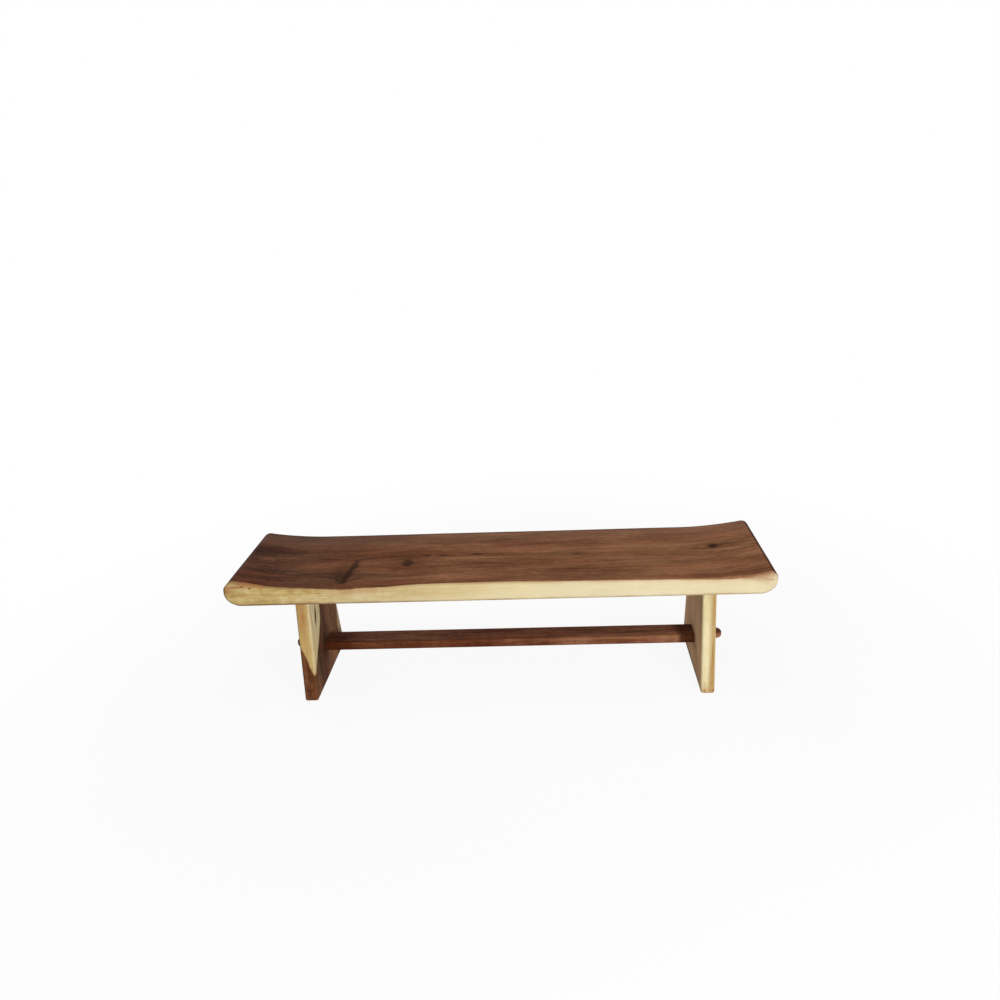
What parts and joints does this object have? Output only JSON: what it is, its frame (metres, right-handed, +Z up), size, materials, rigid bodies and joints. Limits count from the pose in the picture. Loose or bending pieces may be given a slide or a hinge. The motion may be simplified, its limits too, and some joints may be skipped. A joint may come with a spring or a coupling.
{
  "type": "plank bench",
  "caption": "Long wooden plank bench: a dished slab seat with upswept rounded ends on flared slab legs, tied by a low through-tenoned stretcher with tusk keys.",
  "frame": {"origin": "on the floor, under the middle of the seat", "axes": "+Z up, +X along the bench to the right as seen from the front, -Y to the front"},
  "size_m": [1.8, 0.446, 0.47],
  "materials": {
    "seat_wood": "satin oil over dark heartwood with a pale sapwood edge",
    "leg_wood": "satin oil over brown heartwood with pale sapwood edges",
    "stretcher_wood": "satin oil over red-brown heartwood",
    "key_wood": "satin oil",
    "dowel_wood": "bare"
  },
  "bodies": {
    "root": {"seat_slab": "seat_wood", "stretcher": "stretcher_wood", "left_leg": "leg_wood", "left_tusk_key": "key_wood", "left_leg_dowel_1": "dowel_wood", "left_leg_dowel_2": "dowel_wood", "left_leg_dowel_3": "dowel_wood", "left_leg_dowel_4": "dowel_wood", "right_leg": "leg_wood", "right_tusk_key": "key_wood", "right_leg_dowel_1": "dowel_wood", "right_leg_dowel_2": "dowel_wood", "right_leg_dowel_3": "dowel_wood", "right_leg_dowel_4": "dowel_wood"}
  },
  "joints": []
}
